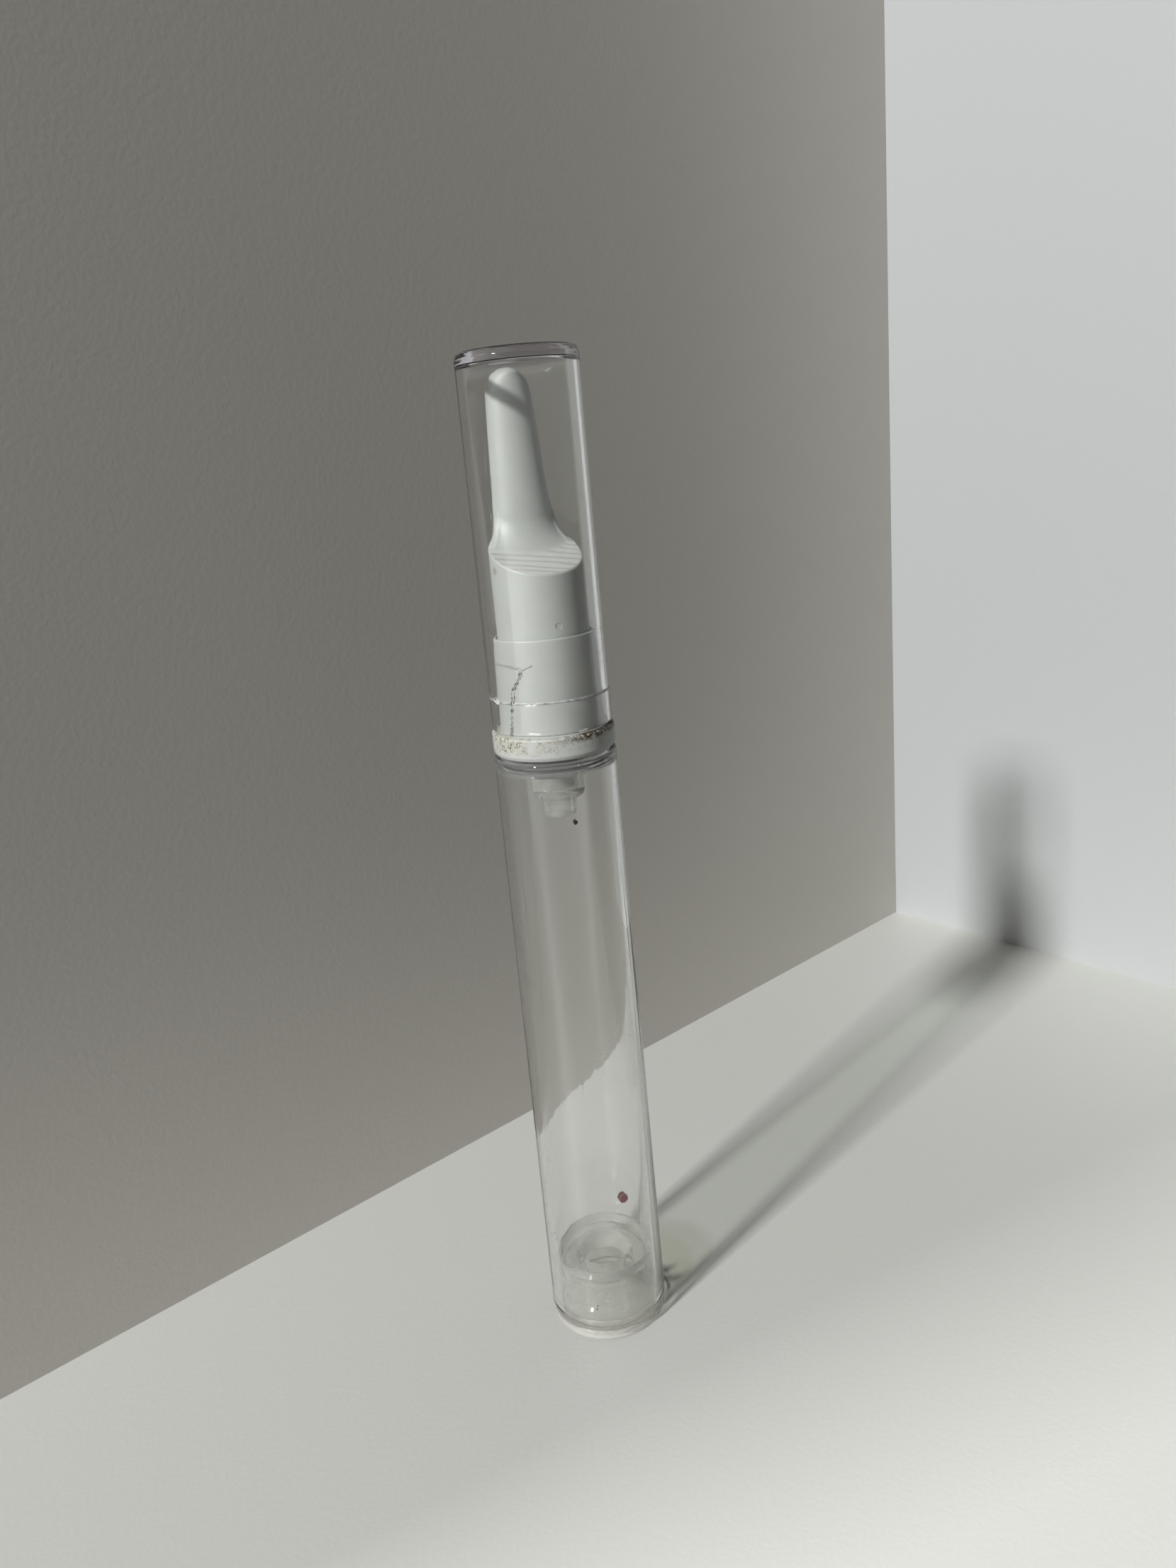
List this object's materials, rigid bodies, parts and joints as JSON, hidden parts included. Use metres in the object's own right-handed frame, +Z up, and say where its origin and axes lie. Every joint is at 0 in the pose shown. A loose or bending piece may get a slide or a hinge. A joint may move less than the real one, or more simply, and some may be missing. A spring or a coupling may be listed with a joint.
{
  "type": "airless pump bottle",
  "caption": "Slim clear airless pump bottle for liquid foundation, with a white spatula applicator head and a clear lift-off overcap.",
  "frame": {"origin": "middle of the foot, on the surface that the bottle stands on", "axes": "+Z up along the bottle's axis, -Y towards the side that the picture shows"},
  "size_m": [0.0184, 0.0184, 0.1487],
  "materials": {
    "clear_plastic": "clear polished styrene, lightly scuffed",
    "white_plastic": "white moulded polypropylene, satin",
    "milky_plastic": "natural milky polypropylene",
    "soft_plastic": "natural soft polyethylene",
    "spring_steel": "bright drawn stainless wire"
  },
  "bodies": {
    "bottle": {"bottle_body": "clear_plastic", "base_plug": "clear_plastic", "collar": "white_plastic", "neck_gasket": "soft_plastic", "pump_housing": "milky_plastic", "stem_guide": "white_plastic", "return_spring": "spring_steel"},
    "plunger": {"pump_stem": "white_plastic", "piston_rod": "white_plastic"},
    "head": {"applicator_head": "white_plastic"},
    "seal": {"piston_seal": "soft_plastic"},
    "valve": {"inlet_valve": "soft_plastic"},
    "follower": {"follower_piston": "soft_plastic"},
    "cap": {"overcap": "clear_plastic"}
  },
  "joints": [
    {"name": "head_press", "type": "slide", "parent": "bottle", "child": "plunger", "axis": [0, 0, -1], "range_m": [0, 0.0035], "stiffness_N_per_m": 400, "springref_m": -0.003, "deforming": ["return_spring"]},
    {"name": "head_spin", "type": "hinge", "parent": "plunger", "child": "head", "pos_m": [0, 0, 0.1144], "axis": [0, 0, 1], "continuous": true},
    {"name": "seal_slip", "type": "slide", "parent": "plunger", "child": "seal", "axis": [0, 0, 1], "range_m": [0, 0.0004]},
    {"name": "valve_lift", "type": "slide", "parent": "bottle", "child": "valve", "axis": [0, 0, 1], "range_m": [0, 0.0005]},
    {"name": "follower_rise", "type": "slide", "parent": "bottle", "child": "follower", "axis": [0, 0, 1], "range_m": [0, 0.0768]},
    {"name": "cap_lift", "type": "slide", "parent": "bottle", "child": "cap", "axis": [0, 0, 1], "range_m": [0, 0.052]}
  ]
}
